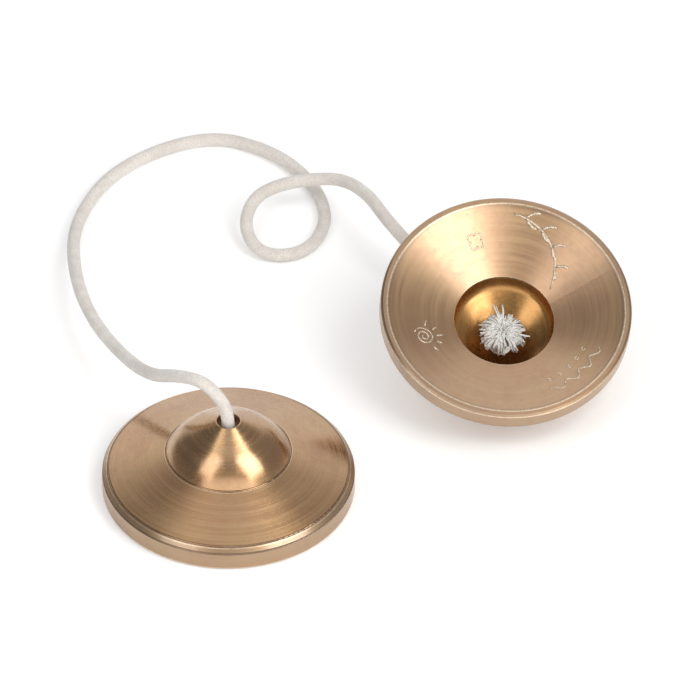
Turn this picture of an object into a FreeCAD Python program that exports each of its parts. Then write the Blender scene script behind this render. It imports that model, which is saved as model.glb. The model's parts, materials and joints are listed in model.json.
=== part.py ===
"""A pair of thick domed finger cymbals joined by one cotton cord.

The left cymbal lies rim down and the right one lies on its dome, opening up.
The cord runs through the hole at the top of each dome and ends in a knot with
a frayed end inside each cup. Millimetres, +Z up, floor at Z = 0; the origin is
below the middle of the pair.
"""
import FreeCAD, Part
import math
import os

import Sketcher
from FreeCAD import Vector

doc = FreeCAD.newDocument("FingerCymbals")

# ------------------------------------------------------------ driving dimensions
SIZES = {
    # one cymbal, lying rim down: radii from its axis, heights from the rim's land
    "land_inner_radius": 33.2,      # the flat land that the two cymbals ring on
    "land_outer_radius": 34.4,
    "rim_radius": 35.1,
    "bevel_height": 0.5,            # top of the worn bevel below the rim's wall
    "wall_height": 5.6,             # top of the rim's upright wall
    "plate_radius": 33.5,           # where the rim's shoulder meets the plate
    "plate_height": 7.1,
    "dome_radius": 17.3,            # foot of the dome
    "dome_foot_height": 13.1,
    "dome_round": 19.8,             # radius of the dome's rounded lower part
    "cone_radius": 10.06,           # where the round part becomes a cone
    "cone_height": 20.34,
    "dome_height": 24.3,            # top of the dome, at the edge of the hole
    "hole_radius": 3.2,
    "roof_height": 21.4,            # lower edge of the hole, in the cavity's roof
    "cavity_radius": 13.9,          # mouth of the hollow under the dome
    "cavity_height": 7.9,
    "edge_round": 0.25,
    "line_radius": 0.3,             # round-bottomed lathe lines
    # the cord and its ends
    "cord_diameter": 3.7,
    "knot_radius": 4.3,
    "knot_height": 16.6,            # the knot's middle on the cymbal's axis
    "end_gap": 0.05,                # between the cord's end face and the knot
    "fray_radius": 6.4,             # the frayed threads curl back round the knot
    "fray_latitude": -5.0,          # how far up the knot they reach, degrees
    "exit_height": 26.3,            # the cord's first corner beyond the right hole
    # where the cymbals are
    "left_x": -38.58,
    "left_y": -22.52,
    "right_x": 38.72,               # centre of the right cymbal's rim
    "right_y": 22.78,
    "right_z": 26.56,
    "right_lean": 20.1,             # from lying level on its dome, degrees
    "tip_direction": 102.7,         # way its dome's tip points, degrees from +X
}
sheet = doc.addObject("Spreadsheet::Sheet", "Sizes")
for row, (name, value) in enumerate(SIZES.items(), start=1):
    sheet.set("A%d" % row, name)
    sheet.set("B%d" % row, str(value))
    sheet.setAlias("B%d" % row, name)
doc.recompute()


def size(name):
    """The number in the sheet's cell of this name."""
    return float(sheet.get(name))


# ------------------------------------------------------------ cymbals
# The half section: corners as (radius, height), anticlockwise from the land.
SECTION = (
    ("land_inner_radius", None),
    ("land_outer_radius", None),
    ("rim_radius", "bevel_height"),
    ("rim_radius", "wall_height"),
    ("plate_radius", "plate_height"),
    ("dome_radius", "dome_foot_height"),
    ("cone_radius", "cone_height"),
    ("hole_radius", "dome_height"),
    ("hole_radius", "roof_height"),
    ("cavity_radius", "cavity_height"),
)
DOME_SIDE = 5                       # the side of the section after this corner is
CAVITY_SIDE = 8                     # an arc: the dome's round part, the cavity
LATHE_LINES = (
    ("rim_radius", "wall_height"),
    ("plate_radius", "plate_height"),
    ("dome_radius", "dome_foot_height"),
)
BROKEN_EDGES = (
    ("hole_radius", "dome_height"),
    ("hole_radius", "roof_height"),
    ("cavity_radius", "cavity_height"),
)


def corner(names):
    """A corner of the half section as a point in its sketch."""
    radius, height = names
    return Vector(size(radius), size(height) if height else 0, 0)


def arc_between(first, last, centre):
    """The arc that turns anticlockwise about centre from first to last."""
    circle = Part.Circle(centre, Vector(0, 0, 1), (first - centre).Length)
    return Part.ArcOfCircle(circle, circle.parameter(first), circle.parameter(last))


def bind(sketch, kind, where, value, expression):
    """Add a dimension to a sketch and bind it to the sheet."""
    index = sketch.addConstraint(Sketcher.Constraint(kind, *where, value))
    if expression:
        sketch.setExpression("Constraints[%d]" % index, expression)


def new_sketch(body, name):
    """A sketch on the body's own upright plane: x is the radius, y the height."""
    sketch = body.newObject("Sketcher::SketchObject", name)
    upright = [plane for plane in body.Origin.OriginFeatures if plane.Role == "XZ_Plane"]
    sketch.AttachmentSupport = [(upright[0], "")]
    sketch.MapMode = "FlatFace"
    return sketch


def section_sketch(body):
    """The cymbal's half section, every corner held by its two dimensions."""
    sketch = new_sketch(body, body.Name + "_section")
    points = [corner(names) for names in SECTION]
    count = len(points)
    ends = {}
    for side in range(count):
        first, last = points[side], points[(side + 1) % count]
        if side == DOME_SIDE:
            chord = last - first
            middle = (first + last) * 0.5
            inward = Vector(-chord.y, chord.x, 0).normalize()
            reach = math.sqrt(size("dome_round") ** 2 - (chord.Length / 2) ** 2)
            sketch.addGeometry(arc_between(first, last, middle + inward * reach))
            ends[side] = (1, 2)
        elif side == CAVITY_SIDE:
            lift = (first.Length ** 2 - last.Length ** 2) / (2 * (first.y - last.y))
            sketch.addGeometry(arc_between(last, first, Vector(0, lift, 0)))
            ends[side] = (2, 1)
        else:
            sketch.addGeometry(Part.LineSegment(first, last))
            ends[side] = (1, 2)
    for side in range(count):
        after = (side + 1) % count
        sketch.addConstraint(Sketcher.Constraint(
            "Coincident", side, ends[side][1], after, ends[after][0]))
        radius, height = SECTION[side]
        start = (-1, 1, side, ends[side][0])
        bind(sketch, "DistanceX", start, points[side].x, "Sizes." + radius)
        if height:
            bind(sketch, "DistanceY", start, points[side].y, "Sizes." + height)
        else:
            sketch.addConstraint(Sketcher.Constraint("PointOnObject", side, start[3], -1))
    bind(sketch, "Radius", (DOME_SIDE,), size("dome_round"), "Sizes.dome_round")
    sketch.addConstraint(Sketcher.Constraint("PointOnObject", CAVITY_SIDE, 3, -2))
    return sketch


def lathe_line(body, names):
    """A round-bottomed line turned into the cymbal at one corner."""
    radius, height = names
    sketch = new_sketch(body, "%s_line_at_%s" % (body.Name, radius))
    centre = corner(names)
    sketch.addGeometry(Part.Circle(centre, Vector(0, 0, 1), size("line_radius")))
    middle = (-1, 1, 0, 3)
    bind(sketch, "DistanceX", middle, centre.x, "Sizes." + radius)
    bind(sketch, "DistanceY", middle, centre.y, "Sizes." + height)
    bind(sketch, "Radius", (0,), size("line_radius"), "Sizes.line_radius")
    groove = body.newObject("PartDesign::Groove", sketch.Name + "_groove")
    groove.Profile = sketch
    groove.ReferenceAxis = (sketch, ["V_Axis"])
    groove.Angle = 360
    return groove


def edges_at(shape, corners):
    """Names of the round edges at the given corners of the section."""
    found = []
    for names in corners:
        point = corner(names)
        for index, edge in enumerate(shape.Edges, start=1):
            box = edge.BoundBox
            level = abs(box.ZMin - point.y) < 0.01 and abs(box.ZMax - point.y) < 0.01
            if level and abs(box.XMax - point.x) < 0.01:
                found.append("Edge%d" % index)
    return found


def make_cymbal(name, placement):
    """One cymbal: turned from its half section, with lathe lines and soft edges."""
    body = doc.addObject("PartDesign::Body", name)
    body.Label = name
    turned = body.newObject("PartDesign::Revolution", name + "_turned")
    turned.Profile = section_sketch(body)
    turned.ReferenceAxis = (turned.Profile[0], ["V_Axis"])
    turned.Angle = 360
    doc.recompute()
    for names in LATHE_LINES:
        last = lathe_line(body, names)
    doc.recompute()
    rounding = body.newObject("PartDesign::Fillet", name + "_soft_edges")
    rounding.Base = (last, edges_at(last.Shape, BROKEN_EDGES))
    rounding.setExpression("Radius", "Sizes.edge_round")
    body.Tip = rounding
    body.setExpression("Placement", placement)
    doc.recompute()
    return body


LEFT_PLACE = (
    "create(<<placement>>; create(<<vector>>; Sizes.left_x; Sizes.left_y; 0);"
    " create(<<rotation>>; create(<<vector>>; 0; 0; 1); 0))"
)
# turned over about a level line square to the way that the dome's tip points
RIGHT_PLACE = (
    "create(<<placement>>; create(<<vector>>; Sizes.right_x; Sizes.right_y; Sizes.right_z);"
    " create(<<rotation>>; create(<<vector>>; cos((Sizes.tip_direction + 90) * 1deg);"
    " sin((Sizes.tip_direction + 90) * 1deg); 0); 180 - Sizes.right_lean))"
)
left_cymbal = make_cymbal("left_cymbal", LEFT_PLACE)
right_cymbal = make_cymbal("right_cymbal", RIGHT_PLACE)


# ------------------------------------------------------------ knots and frayed ends
def at_knot(cymbal):
    """Placement expression: the knot's middle, on this cymbal's axis."""
    return (
        "%s.Placement * create(<<placement>>; create(<<vector>>; 0; 0; Sizes.knot_height);"
        " create(<<rotation>>; create(<<vector>>; 0; 0; 1); 0))" % cymbal.Name
    )


def make_knot(name, cymbal):
    """A ball, cut flat on top where the cord enters it."""
    knot = doc.addObject("Part::Sphere", name)
    knot.Label = name
    knot.setExpression("Radius", "Sizes.knot_radius")
    knot.Angle1 = -90
    knot.setExpression("Angle2", "acos(Sizes.cord_diameter / (2 * Sizes.knot_radius))")
    knot.setExpression("Placement", at_knot(cymbal))
    return knot


def make_frayed_end(name, cymbal):
    """The threads' outer shape: a cap that wraps the knot from the open side."""
    outer = doc.addObject("Part::Sphere", name + "_outer")
    outer.setExpression("Radius", "Sizes.fray_radius")
    outer.Angle1 = -90
    outer.setExpression("Angle2", "Sizes.fray_latitude")
    inner = doc.addObject("Part::Sphere", name + "_inner")
    inner.setExpression("Radius", "Sizes.knot_radius + Sizes.end_gap")
    cap = doc.addObject("Part::Cut", name)
    cap.Label = name
    cap.Base = outer
    cap.Tool = inner
    cap.setExpression("Placement", at_knot(cymbal))
    return cap


left_knot = make_knot("left_knot", left_cymbal)
right_knot = make_knot("right_knot", right_cymbal)
left_frayed_end = make_frayed_end("left_frayed_end", left_cymbal)
right_frayed_end = make_frayed_end("right_frayed_end", right_cymbal)
doc.recompute()


# ------------------------------------------------------------ cord
# Its route from the left hole to the right one, from the left cymbal's centre on
# the floor: up out of the hole, over the plate, down to the floor, round behind,
# through a loop that crosses over itself, and down under the right dome.
ROUTE = (
    (-2.8, 0.5, 33.0),
    (-7.5, 3.0, 36.3),
    (-14.2, 8.0, 33.8),
    (-21.5, 18.5, 24.5),
    (-29.0, 38.0, 14.0),
    (-38.4, 58.2, 10.5),
    (-43.6, 82.3, 7.0),
    (-43.9, 109.2, 2.2),
    (-32.5, 133.4, 1.9),
    (-6.8, 148.0, 1.9),
    (12.3, 140.4, 1.9),
    (23.2, 127.2, 1.9),
    (27.4, 113.0, 1.9),
    (25.2, 103.2, 1.9),
    (20.7, 97.3, 1.9),
    (14.6, 95.3, 1.9),
    (8.8, 96.6, 2.2),
    (5.3, 100.8, 3.8),
    (4.3, 107.0, 5.8),
    (7.1, 114.3, 7.5),
    (13.6, 117.9, 8.8),
    (22.5, 118.5, 10.5),
    (31.8, 116.4, 12.4),
    (38.9, 106.8, 15.0),
    (44.4, 93.8, 16.0),
    (53.3, 83.3, 12.5),
    (61.0, 73.0, 6.0),
    (69.0, 62.0, 1.9),
)
LEFT_CORNER = 27.0                  # height of the cord's first corner above the hole
ARC_SHARE = 0.45                    # of the shorter run, on each side of a corner


def on_axis(cymbal, height):
    """A point on a cymbal's axis, at this height from its land."""
    return cymbal.Placement.multVec(Vector(0, 0, height))


def cord_points():
    """The whole route, with its two ends on the axes of the holes."""
    knot_top = size("knot_height") + math.sqrt(
        size("knot_radius") ** 2 - (size("cord_diameter") / 2) ** 2)
    end = knot_top + size("end_gap")
    centre = left_cymbal.Placement.Base
    return (
        [on_axis(left_cymbal, end), on_axis(left_cymbal, LEFT_CORNER)]
        + [centre + Vector(*point) for point in ROUTE]
        + [on_axis(right_cymbal, size("exit_height")), on_axis(right_cymbal, end)]
    )


def cord_path(points):
    """Straight runs joined by tangent arcs, and the arcs' radii."""
    edges = []
    radii = []
    start = points[0]
    for before, point, after in zip(points, points[1:], points[2:]):
        run_in = point - before
        run_out = after - point
        tangent = ARC_SHARE * min(run_in.Length, run_out.Length)
        turn = run_in.getAngle(run_out)
        radii.append(tangent / math.tan(turn / 2))
        first = point - Vector(run_in).normalize() * tangent
        last = point + Vector(run_out).normalize() * tangent
        bisector = (Vector(run_out).normalize() - Vector(run_in).normalize()).normalize()
        dip = radii[-1] / math.cos(turn / 2) - radii[-1]
        edges.append(Part.LineSegment(start, first).toShape())
        edges.append(Part.Arc(first, point + bisector * dip, last).toShape())
        start = last
    edges.append(Part.LineSegment(start, points[-1]).toShape())
    return Part.Wire(edges), radii


def make_cord():
    """One round tube along the whole route."""
    points = cord_points()
    path, radii = cord_path(points)
    radius = size("cord_diameter") / 2
    section = Part.Wire([Part.Circle(points[0], points[1] - points[0], radius).toShape()])
    tube = path.makePipeShell([section], True, True)
    cord = doc.addObject("Part::Feature", "cord")
    cord.Label = "cord"
    cord.Shape = tube
    print("cord length %.1f mm" % path.Length)
    print("tube volume %.1f, section times length %.1f mm3"
          % (tube.Volume, math.pi * radius ** 2 * path.Length))
    print("cord arc radii, mm:", " ".join("%.1f" % value for value in radii))
    return cord


cord = make_cord()
doc.recompute()

# ------------------------------------------------------------ checks and files
NODES = (left_cymbal, right_cymbal, cord, left_knot, right_knot,
         left_frayed_end, right_frayed_end)
for item in doc.Objects:
    if "Invalid" in item.State or "Error" in item.State:
        raise RuntimeError("%s did not rebuild: %s" % (item.Name, item.State))
os.makedirs("parts", exist_ok=True)
for node in NODES:
    if node.Shape.isNull() or not node.Shape.isValid():
        raise RuntimeError(node.Label + " has no valid shape")
    node.Shape.exportStep("parts/%s.step" % node.Label)
    print("%-18s %8.0f mm3, %d solid" % (node.Label, node.Shape.Volume, len(node.Shape.Solids)))
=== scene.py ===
"""Finger cymbals: two thick domed bronze cymbals joined by one braided cotton cord.

The cymbals are the frame's own pieces with a bronze material. The cord, its knots, its
frayed ends and the scratched ornaments are built here. Everything is in metres.
"""
import json
import math
import random
from collections import namedtuple

import bpy
from mathutils import Matrix, Vector, noise


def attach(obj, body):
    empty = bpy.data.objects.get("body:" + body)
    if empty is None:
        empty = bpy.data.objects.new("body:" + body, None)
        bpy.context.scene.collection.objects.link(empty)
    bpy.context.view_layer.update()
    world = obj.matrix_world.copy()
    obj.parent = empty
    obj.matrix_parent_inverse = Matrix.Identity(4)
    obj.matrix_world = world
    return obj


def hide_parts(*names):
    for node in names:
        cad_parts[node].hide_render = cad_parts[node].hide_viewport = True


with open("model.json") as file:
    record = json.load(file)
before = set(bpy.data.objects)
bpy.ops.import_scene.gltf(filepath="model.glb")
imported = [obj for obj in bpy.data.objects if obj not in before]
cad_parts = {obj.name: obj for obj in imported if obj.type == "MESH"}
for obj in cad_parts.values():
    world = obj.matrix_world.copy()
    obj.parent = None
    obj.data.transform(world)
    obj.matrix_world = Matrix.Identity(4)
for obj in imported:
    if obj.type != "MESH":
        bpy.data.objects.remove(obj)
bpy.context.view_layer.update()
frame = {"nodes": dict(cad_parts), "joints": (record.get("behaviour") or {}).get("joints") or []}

MM = 0.001
JOINTS = {joint["name"]: joint for joint in frame["joints"]}

# ------------------------------------------------------------ sizes of the cymbals, mm
PIVOT_HEIGHT = 22.85                # of each joint's point above the rim's land
LAND_INNER = 33.2                   # the flat ring that the two cymbals sound on
LAND_OUTER = 34.4
RIM = 35.1
BEVEL_HEIGHT = 0.5                  # top of the worn bevel below the rim's wall
WALL_TOP = 5.6
PLATE_RADIUS = 33.5
PLATE_HEIGHT = 7.1
DOME_RADIUS = 17.3
DOME_FOOT = 13.1
DOME_TOP = 24.3
CAVITY_RADIUS = 13.9                # mouth of the hollow under the dome
CAVITY_HEIGHT = 7.9
BOWL_SLOPE = CAVITY_HEIGHT / (LAND_INNER - CAVITY_RADIUS)
HOLE_RADIUS = 3.2
KNOT_HEIGHT = 16.6
KNOT_RADIUS = 4.3
CORD_DIAMETER = 3.7


def cymbal_place(side):
    """Matrix of one cymbal: origin at the middle of its land, +Z towards its dome."""
    up = Vector(JOINTS[side + "_spin"]["axis"]).normalized()
    across = Vector(JOINTS[side + "_swing"]["axis"]).normalized()
    origin = Vector(JOINTS[side + "_spin"]["pos_m"]) - up * PIVOT_HEIGHT * MM
    turn = Matrix((across, up.cross(across), up)).transposed()
    return Matrix.Translation(origin) @ turn.to_4x4()


PLACES = {side: cymbal_place(side) for side in ("left", "right")}


# ------------------------------------------------------------ camera
CAMERA_ELEVATION = 41.09            # degrees above the floor, looking along +Y
CAMERA_DISTANCE = 8.0               # metres
CAMERA_LENS = 1472.7                # long lens: the view is close to a parallel one
CAMERA_TARGET = Vector((-4.83, 34.98, 0)) * MM
CAMERA_FAR = 100                    # metres, beyond the floor's far edge


def make_camera():
    """The camera, far away with a long lens."""
    camera = bpy.data.objects.new("camera", bpy.data.cameras.new("camera"))
    bpy.context.scene.collection.objects.link(camera)
    tilt = math.radians(CAMERA_ELEVATION)
    ahead = Vector((0, math.cos(tilt), -math.sin(tilt)))
    camera.location = CAMERA_TARGET - ahead * CAMERA_DISTANCE
    camera.rotation_euler = ahead.to_track_quat("-Z", "Y").to_euler()
    camera.data.lens = CAMERA_LENS
    camera.data.clip_end = CAMERA_FAR
    bpy.context.scene.camera = camera


# ------------------------------------------------------------ cord route, mm
# From the left hole to the right one, from the left cymbal's centre on the floor.
ROUTE = (
    (-2.8, 0.5, 33.0),
    (-7.5, 3.0, 36.3),
    (-14.2, 8.0, 33.8),
    (-21.5, 18.5, 24.5),
    (-29.0, 38.0, 14.0),
    (-38.4, 58.2, 10.5),
    (-43.6, 82.3, 7.0),
    (-43.9, 109.2, 2.2),
    (-32.5, 133.4, 1.9),
    (-6.8, 148.0, 1.9),
    (12.3, 140.4, 1.9),
    (23.2, 127.2, 1.9),
    (27.4, 113.0, 1.9),
    (25.2, 103.2, 1.9),
    (20.7, 97.3, 1.9),
    (14.6, 95.3, 1.9),
    (8.8, 96.6, 2.2),
    (5.3, 100.8, 3.8),
    (4.3, 107.0, 5.8),
    (7.1, 114.3, 7.5),
    (13.6, 117.9, 8.8),
    (22.5, 118.5, 10.5),
    (31.8, 116.4, 12.4),
    (38.9, 106.8, 15.0),
    (44.4, 93.8, 16.0),
    (53.3, 83.3, 12.5),
    (61.0, 73.0, 6.0),
    (69.0, 62.0, 1.9),
)
CORD_END_HEIGHT = 20.53             # on the holes' axes, where the cord meets its knots
LEFT_CORNER_HEIGHT = 27.0           # the cord's first corner beyond each hole
RIGHT_CORNER_HEIGHT = 26.3
LINE_RESOLUTION = 24                # points of the smooth line between control points


def on_axis(side, height):
    """A point on a cymbal's axis, at this height in mm from its land."""
    return PLACES[side] @ Vector((0, 0, height * MM))


def cord_points():
    """The cord's control points in the scene, in metres."""
    centre = PLACES["left"].translation
    route = [centre + Vector(point) * MM for point in ROUTE]
    corner = on_axis("right", RIGHT_CORNER_HEIGHT)
    return (
        [on_axis("left", CORD_END_HEIGHT), on_axis("left", LEFT_CORNER_HEIGHT)]
        + route
        + [route[-1].lerp(corner, 0.5), corner, on_axis("right", CORD_END_HEIGHT)]
    )


def smooth_line(points, closed=False):
    """The points of the NURBS spline that has these control points."""
    curve = bpy.data.curves.new("line", "CURVE")
    curve.dimensions = "3D"
    curve.resolution_u = LINE_RESOLUTION
    spline = curve.splines.new("NURBS")
    spline.points.add(len(points) - 1)
    for target, point in zip(spline.points, points):
        target.co = (*point, 1)
    spline.order_u = 3
    spline.use_endpoint_u = not closed
    spline.use_cyclic_u = closed
    holder = bpy.data.objects.new("line", curve)
    mesh = bpy.data.meshes.new_from_object(holder)
    line = [vertex.co.copy() for vertex in mesh.vertices]
    bpy.data.objects.remove(holder)
    bpy.data.curves.remove(curve)
    bpy.data.meshes.remove(mesh)
    return line


def evenly(line, step, closed=False):
    """The same line with points a step apart, and its length."""
    line = line + [line[0]] if closed else line
    distance = [0.0]
    for first, last in zip(line, line[1:]):
        distance.append(distance[-1] + (last - first).length)
    count = max(2, round(distance[-1] / step))
    points = []
    index = 0
    for number in range(count + (0 if closed else 1)):
        want = distance[-1] * number / count
        while index < len(line) - 2 and distance[index + 1] < want:
            index += 1
        span = distance[index + 1] - distance[index]
        share = (want - distance[index]) / span if span else 0
        points.append(line[index].lerp(line[index + 1], share))
    return points, distance[-1]


# ------------------------------------------------------------ mesh helpers
def new_piece(name, vertices, faces, material, smooth=True):
    """A mesh object in the scene with one material."""
    mesh = bpy.data.meshes.new(name)
    mesh.from_pydata([tuple(vertex) for vertex in vertices], [], faces)
    mesh.materials.append(material)
    for polygon in mesh.polygons:
        polygon.use_smooth = smooth
    mesh.update()
    piece = bpy.data.objects.new(name, mesh)
    bpy.context.scene.collection.objects.link(piece)
    return piece


def frames_along(points, closed=False):
    """Two directions square to the line at each point, with no twist between them."""
    count = len(points)
    tangents = []
    for index in range(count):
        before = points[index - 1] if index or closed else points[0]
        after = points[(index + 1) % count] if index < count - 1 or closed else points[-1]
        tangents.append((after - before).normalized())
    side = tangents[0].orthogonal().normalized()
    sides = [side]
    for first, last in zip(tangents, tangents[1:]):
        side = first.rotation_difference(last) @ side
        side = (side - last * side.dot(last)).normalized()
        sides.append(side)
    return [(side, tangent.cross(side)) for side, tangent in zip(sides, tangents)]


def tube(points, radius_at, around, closed=False):
    """Vertices and faces of a closed tube; radius_at(index, angle) gives its radius."""
    vertices = []
    faces = []
    frames = frames_along(points, closed)
    count = len(points)
    for index, (point, (side, other)) in enumerate(zip(points, frames)):
        for step in range(around):
            angle = 2 * math.pi * step / around
            reach = radius_at(index, angle)
            vertices.append(point + (side * math.cos(angle) + other * math.sin(angle)) * reach)
    for index in range(count if closed else count - 1):
        here, there = index * around, (index + 1) % count * around
        for step in range(around):
            after = (step + 1) % around
            faces.append((here + step, here + after, there + after, there + step))
    if not closed:
        faces.append(tuple(range(around - 1, -1, -1)))
        faces.append(tuple((count - 1) * around + step for step in range(around)))
    return vertices, faces


def joined(parts):
    """One list of vertices and one of faces from several such pairs."""
    vertices = []
    faces = []
    for some_vertices, some_faces in parts:
        start = len(vertices)
        vertices.extend(some_vertices)
        faces.extend(tuple(start + index for index in face) for face in some_faces)
    return vertices, faces


# ------------------------------------------------------------ node helpers
def new_material(name):
    """A material with only a Principled shader and its output."""
    material = bpy.data.materials.new(name)
    material.use_nodes = True
    tree = material.node_tree
    tree.nodes.clear()
    output = tree.nodes.new("ShaderNodeOutputMaterial")
    shader = tree.nodes.new("ShaderNodeBsdfPrincipled")
    tree.links.new(shader.outputs[0], output.inputs["Surface"])
    return material, tree, shader


def put(tree, socket, value):
    """Sets an input socket to a number, a vector or another node's output."""
    if isinstance(value, bpy.types.NodeSocket):
        tree.links.new(value, socket)
    elif value is not None:
        socket.default_value = value


def maths(tree, operation, *values):
    """A Math node's result."""
    node = tree.nodes.new("ShaderNodeMath")
    node.operation = operation
    for socket, value in zip(node.inputs, values):
        put(tree, socket, value)
    return node.outputs[0]


def vectors(tree, operation, *values):
    """A Vector Math node's result."""
    node = tree.nodes.new("ShaderNodeVectorMath")
    node.operation = operation
    for socket, value in zip(node.inputs, values):
        put(tree, socket, value)
    single = operation in ("DOT_PRODUCT", "LENGTH", "DISTANCE")
    return node.outputs["Value" if single else "Vector"]


def combine(tree, *values):
    """A vector from three values."""
    node = tree.nodes.new("ShaderNodeCombineXYZ")
    for socket, value in zip(node.inputs, values):
        put(tree, socket, value)
    return node.outputs[0]


def scaled(tree, vector, factor):
    """A vector times a factor."""
    result = vectors(tree, "SCALE", vector)
    put(tree, result.node.inputs["Scale"], factor)
    return result


def square_sum(tree, first, last):
    """The sum of two squares."""
    return maths(tree, "ADD", maths(tree, "MULTIPLY", first, first),
                 maths(tree, "MULTIPLY", last, last))


def most(tree, *values):
    """The largest of several values."""
    result = values[0]
    for value in values[1:]:
        result = maths(tree, "MAXIMUM", result, value)
    return result


def in_world(tree, vector, kind):
    """A vector of the object turned into the world's; kind is VECTOR or NORMAL."""
    node = tree.nodes.new("ShaderNodeVectorTransform")
    node.vector_type = kind
    node.convert_from = "OBJECT"
    node.convert_to = "WORLD"
    put(tree, node.inputs[0], vector)
    return node.outputs[0]


def smooth_step(tree, value, low, high, to_low=0.0, to_high=1.0):
    """A smooth ramp of value from low to high."""
    node = tree.nodes.new("ShaderNodeMapRange")
    node.interpolation_type = "SMOOTHSTEP"
    for socket, number in zip(node.inputs, (value, low, high, to_low, to_high)):
        put(tree, socket, number)
    return node.outputs[0]


def mix_colours(tree, share, first, last):
    """Two colours mixed by share."""
    node = tree.nodes.new("ShaderNodeMix")
    node.data_type = "RGBA"
    put(tree, node.inputs["Factor"], share)
    for socket, colour in zip(node.inputs[6:8], (first, last)):
        put(tree, socket, colour if isinstance(colour, bpy.types.NodeSocket) else (*colour, 1))
    return node.outputs[2]


def grain(tree, vector, scale, detail=3.0, roughness=0.5, distortion=0.0):
    """Noise from 0 to 1."""
    node = tree.nodes.new("ShaderNodeTexNoise")
    put(tree, node.inputs["Vector"], vector)
    node.inputs["Scale"].default_value = scale
    node.inputs["Detail"].default_value = detail
    node.inputs["Roughness"].default_value = roughness
    node.inputs["Distortion"].default_value = distortion
    return node.outputs[0]


def bump(tree, height, strength, distance, below=None):
    """A Bump node's normal."""
    node = tree.nodes.new("ShaderNodeBump")
    node.inputs["Strength"].default_value = strength
    node.inputs["Distance"].default_value = distance
    put(tree, node.inputs["Height"], height)
    put(tree, node.inputs["Normal"], below)
    return node.outputs[0]


# ------------------------------------------------------------ bronze
BRONZE = (0.48, 0.275, 0.115)
BRONZE_PALE = (0.57, 0.365, 0.185)
BRONZE_RED = (0.45, 0.235, 0.10)
PATINA = (0.16, 0.09, 0.045)
POLISHED = (0.42, 0.22, 0.07)
POLISHED_RED = (0.45, 0.215, 0.06)
PAINTED_SHADE = (0.14, 0.06, 0.018)       # painted shade on the side of a hollow that lies lowest
# pale bronze of worn edges, partly a painted highlight along the rounded edges
WORN_AND_HIGHLIGHT = (0.82, 0.66, 0.46)
HANDLED = (0.36, 0.275, 0.19)       # dulled by hands, round the rim
# How each surface of a cymbal is finished: its base colour, its roughness where the
# turning is fine and where it is coarse, how far highlights are stretched, its relief,
# and how strongly and how roughly a thin skin of wax reflects on top.
Finish = namedtuple("Finish", "base fine coarse stretch relief wax wax_rough")
FINISHES = {
    "turned": Finish(BRONZE, 0.22, 0.31, 0.68, 0.03, 0.55, 0.17),
    "bowl": Finish(BRONZE, 0.35, 0.45, 0.5, 0.03, 0.9, 0.30),
    "hollow": Finish(POLISHED, 0.27, 0.33, 0.3, 0.02, 0.15, 0.2),
}
WAX_IOR = 2.0
RING_DEPTH = 0.00006                # metres
ALONG_TURNING = 0.25                # turns highlights a quarter, to lie across the rings

# noises over the metal: scale per mm, detail, roughness and distortion
PATCHES = (0.075, 2.0, 0.5, 0.5)    # slow changes of colour
SMUDGES = (0.33, 4.0, 0.6, 1.2)     # finger marks
GAPS = (1.7, 3.0, 0.6)              # where a worn edge and its painted highlight are broken
RINGS_PER_MM = 2.6                  # of the profile
STREAK_SCALES = (0.7, 3.0)          # round the axis, and across it
HEIGHT_SHARE = 0.83                 # of the height in the length along the profile

# ramps of those noises, and of places in mm: from, to, and the result at each
REDDER = (0.36, 0.66)
PALER_STREAKS = (0.35, 0.75, 0.0, 0.4)
DARKER_SMUDGES = (0.45, 0.75, 0.0, 0.15)
HOLLOW_SMUDGES = (0.3, 0.7, 0.0, 0.4)
HOLLOW_PAINTED_SHADE = (-1.5, 5.0, 0.0, 0.6)  # painted shade, along the cymbal's own y axis
LAND_PATINA = (0.2, 0.55, 0.35, 0.0)    # above the land
PALER_RINGS = (0.35, 0.7, 0.0, 0.1)
HANDLED_RIM = (PLATE_RADIUS - 0.1, PLATE_RADIUS + 0.3, 0.0, 0.45)
ROUGHER_RIM = (PLATE_RADIUS - 0.1, PLATE_RADIUS + 0.3, 0.0, 0.16)
ROUGHER_SMUDGES = (0.35, 0.7, -0.03, 0.04)
COARSER_STREAKS = (0.25, 0.8)
FAINTER_RINGS = (0.3, 0.7, 0.6, 1.0)
UNBROKEN = (0.35, 0.6, 0.4, 1.0)
MARK_STRENGTH = 0.85                # of the colour in the grooves and on worn edges, which is partly painted highlight

# the turned lines, and the worn edges that also carry a painted highlight: (radius, height)
# of each ring in the profile, how far from it the mark is full, and how far from it the mark
# ends
GROOVES = (
    ((PLATE_RADIUS, PLATE_HEIGHT), 0.24, 0.4),
    ((RIM, WALL_TOP), 0.25, 0.42),
    ((DOME_RADIUS, DOME_FOOT), 0.2, 0.36),
)
WORN_AND_HIGHLIGHT_EDGES = (
    ((LAND_INNER, 0.0), 0.12, 0.34),
    ((RIM, BEVEL_HEIGHT), 0.08, 0.3),
    ((CAVITY_RADIUS, CAVITY_HEIGHT), 0.1, 0.35),
    ((HOLE_RADIUS, DOME_TOP), 0.15, 0.45),
    ((PLATE_RADIUS + 0.45, PLATE_HEIGHT - 0.42), 0.04, 0.25),
    ((DOME_RADIUS + 0.45, DOME_FOOT - 0.1), 0.04, 0.2),
)

# how the polished hollow faces: the sine of its lean from the axis is the first number
# in the middle and the second at its side, where its corner rounds over
ROOF_LEAN = (0.44, 0.97)
ROOF_CORNER = (0.90 * CAVITY_RADIUS, 0.997 * CAVITY_RADIUS)


def near_ring(tree, radius, height, ring, inner, outer):
    """1 within inner of a ring given as (radius, height), falling to 0 at outer, all mm."""
    across = maths(tree, "SUBTRACT", radius, ring[0])
    along = maths(tree, "SUBTRACT", height, ring[1])
    away = maths(tree, "SQRT", square_sum(tree, across, along))
    return smooth_step(tree, away, inner, outer, 1.0, 0.0)


def marks(tree, radius, height, rings):
    """Where any of several rings leaves its mark."""
    return most(tree, *(near_ring(tree, radius, height, *ring) for ring in rings))


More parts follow.
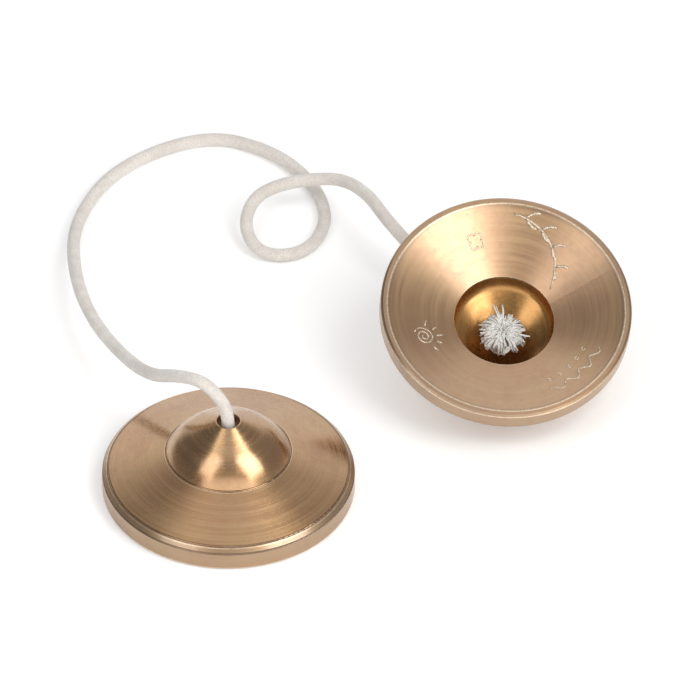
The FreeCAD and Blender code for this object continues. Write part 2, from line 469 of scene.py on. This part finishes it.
def streak_noise(tree, x, y, radius, profile):
    """Streaks of the turning: long round the axis, fine across it."""
    round_axis, crossing = STREAK_SCALES
    around = (maths(tree, "DIVIDE", x, radius), maths(tree, "DIVIDE", y, radius))
    place = combine(tree, *(maths(tree, "MULTIPLY", value, round_axis) for value in around),
                    maths(tree, "MULTIPLY", profile, crossing))
    return grain(tree, place, 1.0, 1.0, 0.6)


def ring_noise(tree, profile):
    """Fine lathe rings, the same all the way round."""
    rings = grain(tree, None, 1.0, 1.0, 0.5)
    rings.node.noise_dimensions = "1D"
    put(tree, rings.node.inputs["W"], maths(tree, "MULTIPLY", profile, RINGS_PER_MM))
    return rings


def metal_colour(tree, base, patches, streaks, smudges):
    """Bronze with redder patches, paler streaks and darker smudges."""
    colour = mix_colours(tree, smooth_step(tree, patches, *REDDER), base, BRONZE_RED)
    colour = mix_colours(tree, smooth_step(tree, streaks, *PALER_STREAKS), colour, BRONZE_PALE)
    return mix_colours(tree, smooth_step(tree, smudges, *DARKER_SMUDGES), colour, PATINA)


def hollow_colour(tree, base, smudges, y):
    """Polished bronze, smudged, and with painted shade on one side."""
    colour = mix_colours(tree, smooth_step(tree, smudges, *HOLLOW_SMUDGES), base, POLISHED_RED)
    # painted shade: darker towards the hollow's lowest side, where it lies in shade
    return mix_colours(tree, smooth_step(tree, y, *HOLLOW_PAINTED_SHADE), colour, PAINTED_SHADE)


def roof_normal(tree, axis, offset, radius):
    """The way the polished hollow faces: a shallow cone with a rounded corner at its side."""
    outward = vectors(tree, "PROJECT", offset, axis)
    outward = vectors(tree, "NORMALIZE", vectors(tree, "SUBTRACT", offset, outward))
    lean = smooth_step(tree, radius, *ROOF_CORNER, *ROOF_LEAN)
    rise = maths(tree, "SUBTRACT", 1.0, maths(tree, "MULTIPLY", lean, lean))
    sideways = scaled(tree, outward, lean)
    upward = scaled(tree, axis, maths(tree, "SQRT", rise))
    facing = scaled(tree, vectors(tree, "ADD", sideways, upward), -1.0)
    return in_world(tree, facing, "NORMAL")


def bronze_material(side, name):
    """Lathe-turned bronze in one finish, laid out about one cymbal's own axis."""
    finish = FINISHES[name]
    hollow = name == "hollow"
    material, tree, shader = new_material("%s_bronze_%s" % (side, name))
    place = PLACES[side]
    axes = [Vector(place.col[index][:3]) for index in range(3)]
    here = tree.nodes.new("ShaderNodeTexCoord").outputs["Object"]
    offset = scaled(tree, vectors(tree, "SUBTRACT", here, place.translation), 1 / MM)
    x, y, height = (vectors(tree, "DOT_PRODUCT", offset, axis) for axis in axes)
    radius = maths(tree, "SQRT", square_sum(tree, x, y))
    local = combine(tree, x, y, height)
    profile = maths(tree, "ADD", radius, maths(tree, "MULTIPLY", height, HEIGHT_SHARE))

    # highlights are stretched square to the direction of turning
    turning = vectors(tree, "NORMALIZE", vectors(tree, "CROSS_PRODUCT", axes[2], offset))
    put(tree, shader.inputs["Tangent"], in_world(tree, turning, "VECTOR"))
    shader.inputs["Anisotropic"].default_value = finish.stretch
    shader.inputs["Anisotropic Rotation"].default_value = ALONG_TURNING

    streaks = streak_noise(tree, x, y, radius, profile)
    rings = ring_noise(tree, profile)
    patches = grain(tree, local, *PATCHES)
    smudges = grain(tree, local, *SMUDGES)
    unbroken = smooth_step(tree, grain(tree, local, *GAPS), *UNBROKEN)
    grooves = marks(tree, radius, height, GROOVES)
    edges = maths(tree, "MULTIPLY", marks(tree, radius, height, WORN_AND_HIGHLIGHT_EDGES), unbroken)

    if hollow:
        colour = hollow_colour(tree, finish.base, smudges, y)
    else:
        colour = metal_colour(tree, finish.base, patches, streaks, smudges)
    colour = mix_colours(tree, smooth_step(tree, height, *LAND_PATINA), colour, PATINA)
    colour = mix_colours(tree, smooth_step(tree, rings, *PALER_RINGS), colour, BRONZE_PALE)
    if name == "turned":
        colour = mix_colours(tree, smooth_step(tree, radius, *HANDLED_RIM), colour, HANDLED)
    colour = mix_colours(tree, maths(tree, "MULTIPLY", grooves, MARK_STRENGTH), colour, PATINA)
    # pale worn edges, partly a painted highlight along the rounded edges
    colour = mix_colours(tree, maths(tree, "MULTIPLY", edges, MARK_STRENGTH), colour, WORN_AND_HIGHLIGHT)
    put(tree, shader.inputs["Base Color"], colour)

    rough = smooth_step(tree, streaks, *COARSER_STREAKS, finish.fine, finish.coarse)
    rough = maths(tree, "ADD", rough, smooth_step(tree, smudges, *ROUGHER_SMUDGES))
    rough = maths(tree, "ADD", rough, smooth_step(tree, radius, *ROUGHER_RIM))
    put(tree, shader.inputs["Roughness"], rough)
    shader.inputs["Metallic"].default_value = 1.0
    shader.inputs["Coat Weight"].default_value = finish.wax
    shader.inputs["Coat IOR"].default_value = WAX_IOR
    shader.inputs["Coat Roughness"].default_value = finish.wax_rough

    relief = maths(tree, "MULTIPLY", rings, smooth_step(tree, patches, *FAINTER_RINGS))
    facing = roof_normal(tree, axes[2], offset, radius) if hollow else None
    facing = bump(tree, relief, finish.relief, RING_DEPTH, facing)
    put(tree, shader.inputs["Normal"], facing)
    put(tree, shader.inputs["Coat Normal"], facing)
    return material


HOLLOW_MARGIN = 0.4                 # mm beyond the hollow and the bowl that still
BOWL_MARGIN = 0.35                  # count as their own surface


def finish_of(side, point):
    """Which finish a cymbal's surface has at a point in the scene."""
    local = PLACES[side].inverted() @ Vector(point) / MM
    if (local - Vector((0, 0, CAVITY_HEIGHT))).length < CAVITY_RADIUS + HOLLOW_MARGIN:
        return "hollow"
    radius = math.hypot(local.x, local.y)
    under = local.z < BOWL_SLOPE * (LAND_INNER - radius) + BOWL_MARGIN
    return "bowl" if under and radius < LAND_OUTER else "turned"


def finish_cymbal(side):
    """Gives each face of a cymbal its finish."""
    mesh = frame["nodes"][side + "_cymbal"].data
    mesh.materials.clear()
    names = list(FINISHES)
    for name in names:
        mesh.materials.append(bronze_material(side, name))
    for polygon in mesh.polygons:
        polygon.material_index = names.index(finish_of(side, polygon.center))


SCRATCH_DARK = (0.40, 0.29, 0.20)
SCRATCH_BRIGHT = (0.93, 0.84, 0.70)
SCRATCH_SPECKLE = 4200.0            # per metre
SCRATCH_RELIEF = 0.00005


def scratch_material():
    """Fresh bright metal where the bronze is scratched."""
    material, tree, shader = new_material("scratched_bronze")
    here = tree.nodes.new("ShaderNodeTexCoord").outputs["Object"]
    speckle = grain(tree, here, SCRATCH_SPECKLE, 2.0, 0.5)
    bright = smooth_step(tree, speckle, 0.35, 0.65)
    colour = mix_colours(tree, bright, SCRATCH_DARK, SCRATCH_BRIGHT)
    put(tree, shader.inputs["Base Color"], colour)
    put(tree, shader.inputs["Roughness"], smooth_step(tree, speckle, 0.3, 0.7, 0.35, 0.6))
    shader.inputs["Metallic"].default_value = 1.0
    put(tree, shader.inputs["Normal"], bump(tree, speckle, 0.4, SCRATCH_RELIEF))
    return material


# ------------------------------------------------------------ cotton
# pale and shaded colour, and the scale of the fibres per metre
CORD_COTTON = ((0.90, 0.855, 0.80), (0.72, 0.66, 0.60), 2400.0)
THREAD_COTTON = ((0.97, 0.955, 0.92), (0.92, 0.90, 0.86), 9000.0)
COTTON_MOTTLE = 240.0               # per metre
FIBRE_RELIEF = 0.0003


def cotton_material(name, pale, shade, fibre_scale):
    """Soft matt cotton: mottled, with a fine fibre relief and a little sheen."""
    material, tree, shader = new_material(name)
    here = tree.nodes.new("ShaderNodeTexCoord").outputs["Object"]
    mottle = grain(tree, here, COTTON_MOTTLE, 4.0, 0.6)
    fibres = grain(tree, here, fibre_scale, 3.0, 0.7, 0.8)
    colour = mix_colours(tree, smooth_step(tree, mottle, 0.3, 0.7, 0.0, 0.7), pale, shade)
    colour = mix_colours(tree, smooth_step(tree, fibres, 0.56, 0.38, 0.0, 1.0), colour, shade)
    put(tree, shader.inputs["Base Color"], colour)
    put(tree, shader.inputs["Roughness"], smooth_step(tree, fibres, 0.3, 0.7, 0.82, 0.96))
    shader.inputs["Specular IOR Level"].default_value = 0.25
    shader.inputs["Sheen Weight"].default_value = 0.6
    shader.inputs["Sheen Roughness"].default_value = 0.5
    put(tree, shader.inputs["Normal"], bump(tree, fibres, 1.0, FIBRE_RELIEF))
    return material


# ------------------------------------------------------------ braided cord
STRANDS = 12                        # each way round the braid
BRAID_CELL = 0.95 * MM              # length of one crossing along the cord
BRAID_RELIEF = 0.2 * MM
BRAID_UNEVEN = 0.03                 # share of the radius that varies along the cord
BRAID_WAVES = 90.0                  # of that unevenness, per metre
CORD_STEP = 0.24 * MM               # between rings of the cord's mesh
CORD_AROUND = 48
KNOT_AROUND = 36


def braid_height(along, angle):
    """Height of the braid's surface, 0 to 1: strands cross over and under each other."""
    turn = STRANDS * angle / (2 * math.pi)
    run = along / (2 * BRAID_CELL)
    first, last = turn + run * 2, turn - run * 2
    crown = math.sin(math.pi * (first % 1))
    length = math.sin(math.pi * (last % 1))
    if (math.floor(first) + math.floor(last)) % 2:
        crown, length = length, crown
    return max(crown, 0.0) ** 0.8 * max(length, 0.0) ** 0.35


def cord_radius_function(points, step, radius):
    """radius_at for tube(): the braid with a slight unevenness along the cord."""
    def radius_at(index, angle):
        along = index * step
        uneven = 1 + BRAID_UNEVEN * noise.noise(points[index] * BRAID_WAVES)
        return radius * uneven - BRAID_RELIEF * (1 - braid_height(along, angle))
    return radius_at


def make_cord(material):
    """The whole braided cord as one tube along its smooth line."""
    line, _ = evenly(smooth_line(cord_points()), CORD_STEP)
    length = CORD_STEP * (len(line) - 1)
    radius_at = cord_radius_function(line, CORD_STEP, CORD_DIAMETER / 2 * MM)
    vertices, faces = tube(line, radius_at, CORD_AROUND)
    piece = new_piece("braided_cord", vertices, faces, material)
    return piece, line, length


FUZZ_COUNT = 1500
FUZZ_SEED = 7
FUZZ_REACH = (0.35, 1.1)            # shortest and longest, mm
FUZZ_WIDTH = (0.010, 0.018)         # radius, mm
FUZZ_LIFT = (0.25, 0.8)             # how far it stands off rather than lies along
FUZZ_ROOT = 0.2                     # depth of a fibre's root, mm
FUZZ_RISE = 0.12                    # of its first point off that root
FUZZ_PARTS = 3
FLOOR_GAP = 0.05                    # fibres that come nearer the floor are left out


def fibre_line(root, outward, lean, reach, lift):
    """One short fibre, rising off the cord and leaning along it."""
    points = []
    for part in range(FUZZ_PARTS + 1):
        share = part / FUZZ_PARTS
        rise = FUZZ_RISE * MM + reach * lift * math.sin(share * 1.5)
        points.append(root + outward * rise + lean * reach * share * 0.8)
    return points


def make_fuzz(line, material):
    """Short loose fibres that stand off the cord."""
    draw = random.Random(FUZZ_SEED)
    frames = frames_along(line)
    parts = []
    for _ in range(FUZZ_COUNT):
        index = draw.randrange(4, len(line) - 4)
        side, other = frames[index]
        angle = draw.uniform(0, 2 * math.pi)
        outward = side * math.cos(angle) + other * math.sin(angle)
        ahead = (line[index + 2] - line[index - 2]).normalized() * draw.choice((-1, 1))
        round_about = ahead.cross(outward) * draw.uniform(-1, 1)
        root = line[index] + outward * (CORD_DIAMETER / 2 - FUZZ_ROOT) * MM
        reach = draw.uniform(*FUZZ_REACH) * MM
        lift = draw.uniform(*FUZZ_LIFT)
        lean = (ahead * (1 - lift) + round_about * 0.6).normalized()
        points = fibre_line(root, outward, lean, reach, lift)
        if min(point.z for point in points) < FLOOR_GAP * MM:
            continue
        width = draw.uniform(*FUZZ_WIDTH) * MM
        parts.append(tube(points, lambda part, angle: width * (1.05 - 0.3 * part), 3))
    vertices, faces = joined(parts)
    return new_piece("cord_fuzz", vertices, faces, material)


# ------------------------------------------------------------ knots and frayed ends
KNOT_CORNERS = 24
KNOT_STRAND = 1.42                  # radius of the cord drawn tight in the knot, mm
KNOT_RISE = 1.15                    # height of the knot's lobes, in shares of its reach
CORE_RADIUS = 1.6
CORE_TOP = KNOT_RADIUS - 0.9        # from the knot's middle
CORE_BOTTOM = 0.6 - KNOT_RADIUS


def knot_place(side):
    """Matrix of one knot: origin at its middle, +Z towards the cord."""
    return PLACES[side] @ Matrix.Translation((0, 0, KNOT_HEIGHT * MM))


def make_knot(side, material):
    """An overhand knot drawn tight: three lobes of cord round the hole's axis."""
    place = knot_place(side)
    strand = KNOT_STRAND * MM
    reach = (KNOT_RADIUS * MM - strand) / 3
    corners = []
    for number in range(KNOT_CORNERS):
        turn = 2 * math.pi * number / KNOT_CORNERS
        ring = 2 + math.cos(3 * turn)
        corner = Vector((ring * math.cos(2 * turn), ring * math.sin(2 * turn),
                         KNOT_RISE * math.sin(3 * turn)))
        corners.append(place @ (corner * reach))
    line, _ = evenly(smooth_line(corners, closed=True), CORD_STEP, closed=True)
    lobes = tube(line, cord_radius_function(line, CORD_STEP, strand), KNOT_AROUND, closed=True)
    heights = (CORE_TOP, 0, CORE_BOTTOM)
    middle, _ = evenly([place @ Vector((0, 0, height * MM)) for height in heights], CORD_STEP)
    core = tube(middle, cord_radius_function(middle, CORD_STEP, CORE_RADIUS * MM), KNOT_AROUND)
    vertices, faces = joined([lobes, core])
    return new_piece(side + "_overhand_knot", vertices, faces, material)


LOCKS = 84                          # the threads splay out in small locks
LOCK_THREADS = 5
LOCK_REACH = (4.2, 5.0)             # from the knot's middle, mm
LOCK_SPREAD = 1.36                  # how far round the knot the locks go: 2 is all round
LOCK_STRAY = (20, 10)               # most degrees off its even direction and spread
GOLDEN_TURN = 0.618034              # of a turn from one lock to the next
THREAD_RADIUS = 0.23                # mm
THREAD_LUMPS = 0.22                 # share of the radius that varies round the thread
THREAD_TWIST = 1.3                  # radians that those lumps turn from point to point
THREAD_DROOP = 0.5                  # how far a thread's tip hangs down by its weight
THREAD_BEND = 0.35                  # most radians that a lock curls up or down
THREAD_SWAY = 0.18                  # most that it curls sideways, in shares of its reach
THREAD_AROUND = 8
THREAD_PARTS = 7
THREAD_DEPTH = 3.0                  # of a thread's root below the knot's middle, mm
THREAD_RING = 1.3                   # how far from the axis its root is
THREAD_SINK = 2.8                   # reach that is lost on a thread that points down
# threads longer than the rest: direction and spread in degrees, reach in mm
LONG_THREADS = ((-96, 80, 7.6), (-70, 78, 7.2), (30, 86, 6.8))
LONG_LOCK_THREADS = 2
FRAYED_ENDS = (("left", 11, ()), ("right", 23, LONG_THREADS))   # side, seed, long threads


def thread_line(place, direction, spread, reach, bend, sway):
    """One thread: out of the knot's underside and away, bent by its stiffness and weight."""
    turn, lean = math.radians(direction), math.radians(spread)
    outward = Vector((math.cos(turn), math.sin(turn), 0))
    across = Vector((-outward.y, outward.x, 0)) * sway
    start = Vector((0, 0, -THREAD_DEPTH)) + outward * THREAD_RING * math.sin(lean)
    length = reach - THREAD_SINK * math.cos(lean)
    points = []
    for step in range(THREAD_PARTS + 1):
        far = step / THREAD_PARTS
        tilt = lean * (0.7 + 0.3 * far) + bend * far * (1 - far) * 2
        aim = outward * math.sin(tilt) + Vector((0, 0, -1)) * math.cos(tilt)
        point = place @ ((start + aim * length * far + across * far * far * reach) * MM)
        points.append(point - Vector((0, 0, THREAD_DROOP * MM * far * far)))
    return points


def thread_radius_function(thick, phase):
    """radius_at for tube(): an oval thread, twisted along its length."""
    def radius_at(index, angle):
        return thick * (1 + THREAD_LUMPS * math.cos(2 * angle + phase + THREAD_TWIST * index))
    return radius_at


def thread_locks(draw, long_ones):
    """Each lock's direction, spread, reach and number of threads."""
    locks = []
    stray_turn, stray_spread = LOCK_STRAY
    for number in range(LOCKS):
        spread = math.degrees(math.acos(1 - LOCK_SPREAD * (number + 0.5) / LOCKS))
        direction = 360 * ((number * GOLDEN_TURN) % 1) + draw.uniform(-stray_turn, stray_turn)
        spread += draw.uniform(-stray_spread, stray_spread)
        locks.append((direction, spread, draw.uniform(*LOCK_REACH), LOCK_THREADS))
    return locks + [(*long_one, LONG_LOCK_THREADS) for long_one in long_ones]


def make_threads(side, material, seed, long_ones):
    """The cord's cut threads, splayed out and curling back round the knot."""
    draw = random.Random(seed)
    place = knot_place(side)
    parts = []
    for direction, spread, reach, count in thread_locks(draw, long_ones):
        bend = draw.uniform(-THREAD_BEND, THREAD_BEND)
        sway = draw.uniform(-THREAD_SWAY, THREAD_SWAY)
        for _ in range(count):
            line = thread_line(place, direction + draw.gauss(0, 7), spread + draw.gauss(0, 7),
                               reach + draw.uniform(-0.9, 0.5), bend + draw.gauss(0, 0.12),
                               sway + draw.gauss(0, 0.05))
            thick = THREAD_RADIUS * draw.uniform(0.75, 1.2) * MM
            radius_at = thread_radius_function(thick, draw.uniform(0, 6))
            parts.append(tube(line, radius_at, THREAD_AROUND))
    vertices, faces = joined(parts)
    return new_piece(side + "_cut_threads", vertices, faces, material)


# ------------------------------------------------------------ scratched ornaments
# across a stroke: place in half widths, and height off the metal in mm
RIDGE = ((-1, -0.02), (-0.3, 0.06), (0.3, 0.06), (1, -0.02))


def bowl_point(radius, angle, lift):
    """A point on the right cymbal's inner cone, lifted off it, in the scene."""
    tilt = math.atan(BOWL_SLOPE)
    turn = math.radians(angle)
    outward = Vector((math.cos(turn), math.sin(turn), 0))
    surface = outward * radius + Vector((0, 0, BOWL_SLOPE * (LAND_INNER - radius)))
    normal = -(outward * math.sin(tilt) + Vector((0, 0, math.cos(tilt))))
    return PLACES["right"] @ ((surface + normal * lift) * MM)


def stroke(points, width):
    """One scratched stroke over the cone; points are (angle, radius) in degrees and mm."""
    vertices = []
    count = len(points)
    for index, (angle, radius) in enumerate(points):
        before, after = points[max(index - 1, 0)], points[min(index + 1, count - 1)]
        along = Vector((math.radians(after[0] - before[0]) * radius, after[1] - before[1]))
        along.normalize()
        taper = 0.45 + 0.55 * math.sin(math.pi * (index + 0.5) / count) ** 0.5
        for side, lift in RIDGE:
            shift = Vector((-along.y, along.x)) * width / 2 * taper * side
            turn = angle + math.degrees(shift.x / radius)
            vertices.append(bowl_point(radius + shift.y, turn, lift))
    faces = []
    for start in range(0, 4 * (count - 1), 4):
        for corner in range(start, start + 3):
            faces.append((corner, corner + 1, corner + 5, corner + 4))
        faces.append((start, start + 4, start + 7, start + 3))
    faces.append((3, 2, 1, 0))
    faces.append(tuple(range(4 * count - 4, 4 * count)))
    return vertices, faces


def about(centre, across, up):
    """A point this far across and up in mm from a centre given as (angle, radius)."""
    angle, radius = centre
    return angle + math.degrees(across / radius), radius + up


def arc_points(centre, size, start, sweep, count):
    """Points round a small arc about a centre on the cone; start and sweep in degrees."""
    points = []
    for number in range(count):
        turn = math.radians(start + sweep * number / (count - 1))
        points.append(about(centre, size * math.cos(turn), size * math.sin(turn)))
    return points


def sprig():
    """A gently bowed stem with paired leaves, as (points, width)."""
    stem = []
    for number in range(15):
        stem.append((-74 + 3.4 * number, 30.6 - 0.055 * number ** 2 - 0.25 * number))
    strokes = [(stem, 0.5)]
    for angle, radius in stem[2:14:3]:
        for way in (-1, 1):
            leaf = [(angle + 1.9 * step, radius + way * (1.15 * step - 0.16 * step ** 2))
                    for step in range(5)]
            strokes.append((leaf, 0.62))
    return strokes


def rayed_spiral():
    """A spiral with short rays outside it."""
    centre = (172, 24)
    spiral = []
    for number in range(40):
        turn = math.radians(20 * number)
        reach = 0.3 + 0.068 * number
        spiral.append(about(centre, reach * math.cos(turn), reach * math.sin(turn)))
    strokes = [(spiral, 0.5)]
    for number in range(5):
        turn = math.radians(-90 + 36 * (number - 2))
        ray = [about(centre, reach * math.cos(turn), reach * math.sin(turn))
               for reach in (3.7, 4.4, 5.1, 5.8)]
        strokes.append((ray, 0.5))
    return strokes


def dotted_wave():
    """A wave with small rings inside it."""
    wave = [(34 + 1.25 * number, 27.8 + 1.05 * math.sin(0.75 * number)) for number in range(34)]
    strokes = [(wave, 0.5)]
    for number in range(5):
        strokes.append((arc_points((37.5 + 8.4 * number, 23.9), 0.5, 0, 360, 11), 0.36))
    return strokes


def flower():
    """Four arcs, one for each petal."""
    strokes = []
    for number in range(4):
        degrees = 90 * number + 45
        turn = math.radians(degrees)
        centre = (-98 + 2.8 * math.cos(turn), 24.2 + 1.25 * math.sin(turn))
        strokes.append((arc_points(centre, 1.15, degrees - 110, 220, 12), 0.42))
    return strokes


STROKE_SCALE = 1.45                 # of the strokes' widths, which are in mm


def make_ornaments(material):
    """The scratched ornaments as one piece of fine ridges."""
    strokes = sprig() + rayed_spiral() + dotted_wave() + flower()
    vertices, faces = joined([stroke(points, STROKE_SCALE * width) for points, width in strokes])
    return new_piece("right_scratched_ornaments", vertices, faces, material)


# ------------------------------------------------------------ light and floor
# name, degrees right of the camera and above the floor, distance, size, watts, colour
SOFT_BOXES = (
    ("key", 55, 50, 1.2, (0.6, 0.85), 7.2, (1.0, 0.985, 0.96)),
    ("fill", -48, 50, 1.2, (0.5, 0.75), 2.7, (1.0, 0.99, 0.975)),
    ("low_front", 0, 22, 1.3, (2.4, 0.8), 8.0, (1.0, 0.985, 0.97)),
)
LIT_POINT = Vector((0, 0.03, 0.01))  # metres
# the surrounding light: dim sides, a bright sweep behind and a ceiling
LEFT_SIDE = (0.20, 0.20, 0.205)
RIGHT_SIDE = (0.34, 0.34, 0.345)
BACK_SWEEP = (0.98, 0.995, 1.02)
OVERHEAD = (0.84, 0.84, 0.85)
# where each begins and is full, as shares of a direction that point right, back and up
RIGHT_EDGE = (-0.7, 0.7)
SWEEP_EDGE = (0.66, 0.92)
OVERHEAD_EDGE = (0.84, 0.99)
FLOOR_REACH = 12.0                  # metres from the middle to each edge
FLOOR_GREY = 0.88
FLOOR_GLOW = 0.20                   # the floor gives off a little light of its own


def soft_box(name, azimuth, elevation, distance, size, power, colour):
    """An area light aimed at the pair."""
    light = bpy.data.lights.new(name, "AREA")
    light.shape = "RECTANGLE"
    light.size, light.size_y = size
    light.energy = power
    light.color = colour
    holder = bpy.data.objects.new(name, light)
    bpy.context.scene.collection.objects.link(holder)
    around, above = math.radians(azimuth), math.radians(elevation)
    away = Vector((math.sin(around) * math.cos(above), -math.cos(around) * math.cos(above),
                   math.sin(above)))
    holder.location = LIT_POINT + away * distance
    holder.rotation_euler = (-away).to_track_quat("-Z", "Y").to_euler()
    holder.visible_camera = False


def make_world():
    """Soft surrounding light: a bright sweep behind, lit from above, and dim sides."""
    world = bpy.data.worlds.new("studio")
    bpy.context.scene.world = world
    world.use_nodes = True
    tree = world.node_tree
    background = tree.nodes["Background"]
    background.inputs["Strength"].default_value = 1.0
    way = tree.nodes.new("ShaderNodeTexCoord").outputs["Generated"]
    parts = tree.nodes.new("ShaderNodeSeparateXYZ")
    put(tree, parts.inputs[0], way)
    level = combine(tree, parts.outputs["X"], parts.outputs["Y"], 0.0)
    towards_back = vectors(tree, "DOT_PRODUCT", vectors(tree, "NORMALIZE", level), (0, 1, 0))
    sweep = smooth_step(tree, towards_back, *SWEEP_EDGE)
    above = smooth_step(tree, parts.outputs["Z"], *OVERHEAD_EDGE)
    right = smooth_step(tree, parts.outputs["X"], *RIGHT_EDGE)
    light = mix_colours(tree, right, LEFT_SIDE, RIGHT_SIDE)
    light = mix_colours(tree, sweep, light, BACK_SWEEP)
    light = mix_colours(tree, above, light, OVERHEAD)
    put(tree, background.inputs["Color"], light)


def make_floor():
    """A wide pale floor."""
    material, tree, shader = new_material("pale_floor")
    shader.inputs["Base Color"].default_value = (FLOOR_GREY, FLOOR_GREY, FLOOR_GREY, 1)
    shader.inputs["Emission Color"].default_value = (1, 1, 1, 1)
    shader.inputs["Emission Strength"].default_value = FLOOR_GLOW
    shader.inputs["Roughness"].default_value = 0.7
    shader.inputs["Specular IOR Level"].default_value = 0.2
    sides = ((-1, -1), (1, -1), (1, 1), (-1, 1))
    corners = [(FLOOR_REACH * x, FLOOR_REACH * y, 0) for x, y in sides]
    floor = new_piece("floor", corners, [(0, 1, 2, 3)], material, smooth=False)


# ------------------------------------------------------------ the scene
make_camera()
make_world()
make_floor()
for box in SOFT_BOXES:
    soft_box(*box)
bpy.context.scene.view_settings.view_transform = "Standard"

for cymbal in ("left", "right"):
    finish_cymbal(cymbal)

cord_cotton = cotton_material("cord_cotton", *CORD_COTTON)
thread_cotton = cotton_material("thread_cotton", *THREAD_COTTON)

cord, cord_line, cord_length = make_cord(cord_cotton)
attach(cord, "cord")
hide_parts("cord")
fuzz = make_fuzz(cord_line, thread_cotton)
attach(fuzz, "cord")

companions = [fuzz]
for cymbal, seed, long_ones in FRAYED_ENDS:
    knot = make_knot(cymbal, cord_cotton)
    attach(knot, cymbal + "_end")
    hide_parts(cymbal + "_knot")
    threads = make_threads(cymbal, thread_cotton, seed, long_ones)
    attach(threads, cymbal + "_end")
    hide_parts(cymbal + "_frayed_end")
    companions += [knot, threads]

ornaments = make_ornaments(scratch_material())
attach(ornaments, "right_cymbal")
